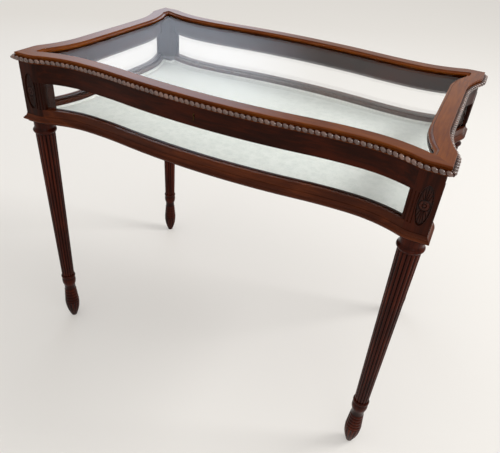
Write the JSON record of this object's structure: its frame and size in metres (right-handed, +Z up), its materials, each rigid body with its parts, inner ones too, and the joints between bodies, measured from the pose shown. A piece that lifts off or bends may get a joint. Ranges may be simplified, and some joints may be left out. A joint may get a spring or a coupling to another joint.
{
  "type": "collectors display table",
  "caption": "Serpentine mahogany display table on turned reeded legs, with a glazed case, fabric-lined floor and a hinged glass lid edged with gadrooning.",
  "frame": {"origin": "on the floor under the middle of the table", "axes": "+X along the width to the right, +Y from the front to the back, +Z up"},
  "size_m": [0.91, 0.58, 0.76],
  "materials": {
    "mahogany_figured": "french polished",
    "mahogany_dark": "french polished",
    "board_wood": "plain",
    "clear_glass": "clear",
    "silver_fabric": "woven",
    "brass_fittings": "polished",
    "steel_screws": "plain"
  },
  "bodies": {
    "case": {"apron_back": "mahogany_dark", "apron_front": "mahogany_dark", "apron_left": "mahogany_dark", "apron_right": "mahogany_dark", "base_moulding_back": "mahogany_dark", "base_moulding_front": "mahogany_dark", "base_moulding_left": "mahogany_dark", "base_moulding_right": "mahogany_dark", "floor_board": "board_wood", "floor_screws": "steel_screws", "hinge_case_leaf_left": "brass_fittings", "hinge_case_leaf_right": "brass_fittings", "hinge_pin_left": "brass_fittings", "hinge_pin_right": "brass_fittings", "hinge_screws_case": "brass_fittings", "keyhole_escutcheon": "brass_fittings", "leg_back_left": "mahogany_dark", "leg_back_right": "mahogany_dark", "leg_front_left": "mahogany_dark", "leg_front_right": "mahogany_dark", "lining_pad": "silver_fabric", "lining_roll": "silver_fabric", "lock_case": "brass_fittings", "lock_screws": "brass_fittings", "pane_back": "clear_glass", "pane_beads_back": "mahogany_dark", "pane_beads_front": "mahogany_dark", "pane_beads_left": "mahogany_dark", "pane_beads_right": "mahogany_dark", "pane_front": "clear_glass", "pane_left": "clear_glass", "pane_right": "clear_glass", "paterae_back_left": "mahogany_dark", "paterae_back_right": "mahogany_dark", "paterae_front_left": "mahogany_dark", "paterae_front_right": "mahogany_dark", "post_back_left": "mahogany_dark", "post_back_right": "mahogany_dark", "post_front_left": "mahogany_dark", "post_front_right": "mahogany_dark", "rail_back": "mahogany_dark", "rail_front": "mahogany_dark", "rail_left": "mahogany_dark", "rail_right": "mahogany_dark"},
    "lid": {"gadroon_back": "mahogany_dark", "gadroon_front": "mahogany_dark", "gadroon_left": "mahogany_dark", "gadroon_right": "mahogany_dark", "hinge_lid_leaf_left": "brass_fittings", "hinge_lid_leaf_right": "brass_fittings", "hinge_screws_lid": "brass_fittings", "lid_frame_back": "mahogany_figured", "lid_frame_front": "mahogany_figured", "lid_frame_left": "mahogany_figured", "lid_frame_right": "mahogany_figured", "lid_glass": "clear_glass", "lid_glass_beads": "mahogany_dark", "lock_strike": "brass_fittings", "strike_screws": "brass_fittings"},
    "lock_bolt": {"lock_bolt": "brass_fittings"}
  },
  "joints": [
    {"name": "lid_hinge", "type": "hinge", "parent": "case", "child": "lid", "pos_m": [0, 0.2808, 0.7412], "axis": [-1, 0, 0], "range_deg": [0, 100]},
    {"name": "lock_bolt_slide", "type": "slide", "parent": "case", "child": "lock_bolt", "axis": [0, 0, 1], "range_m": [0, 0.006]}
  ]
}
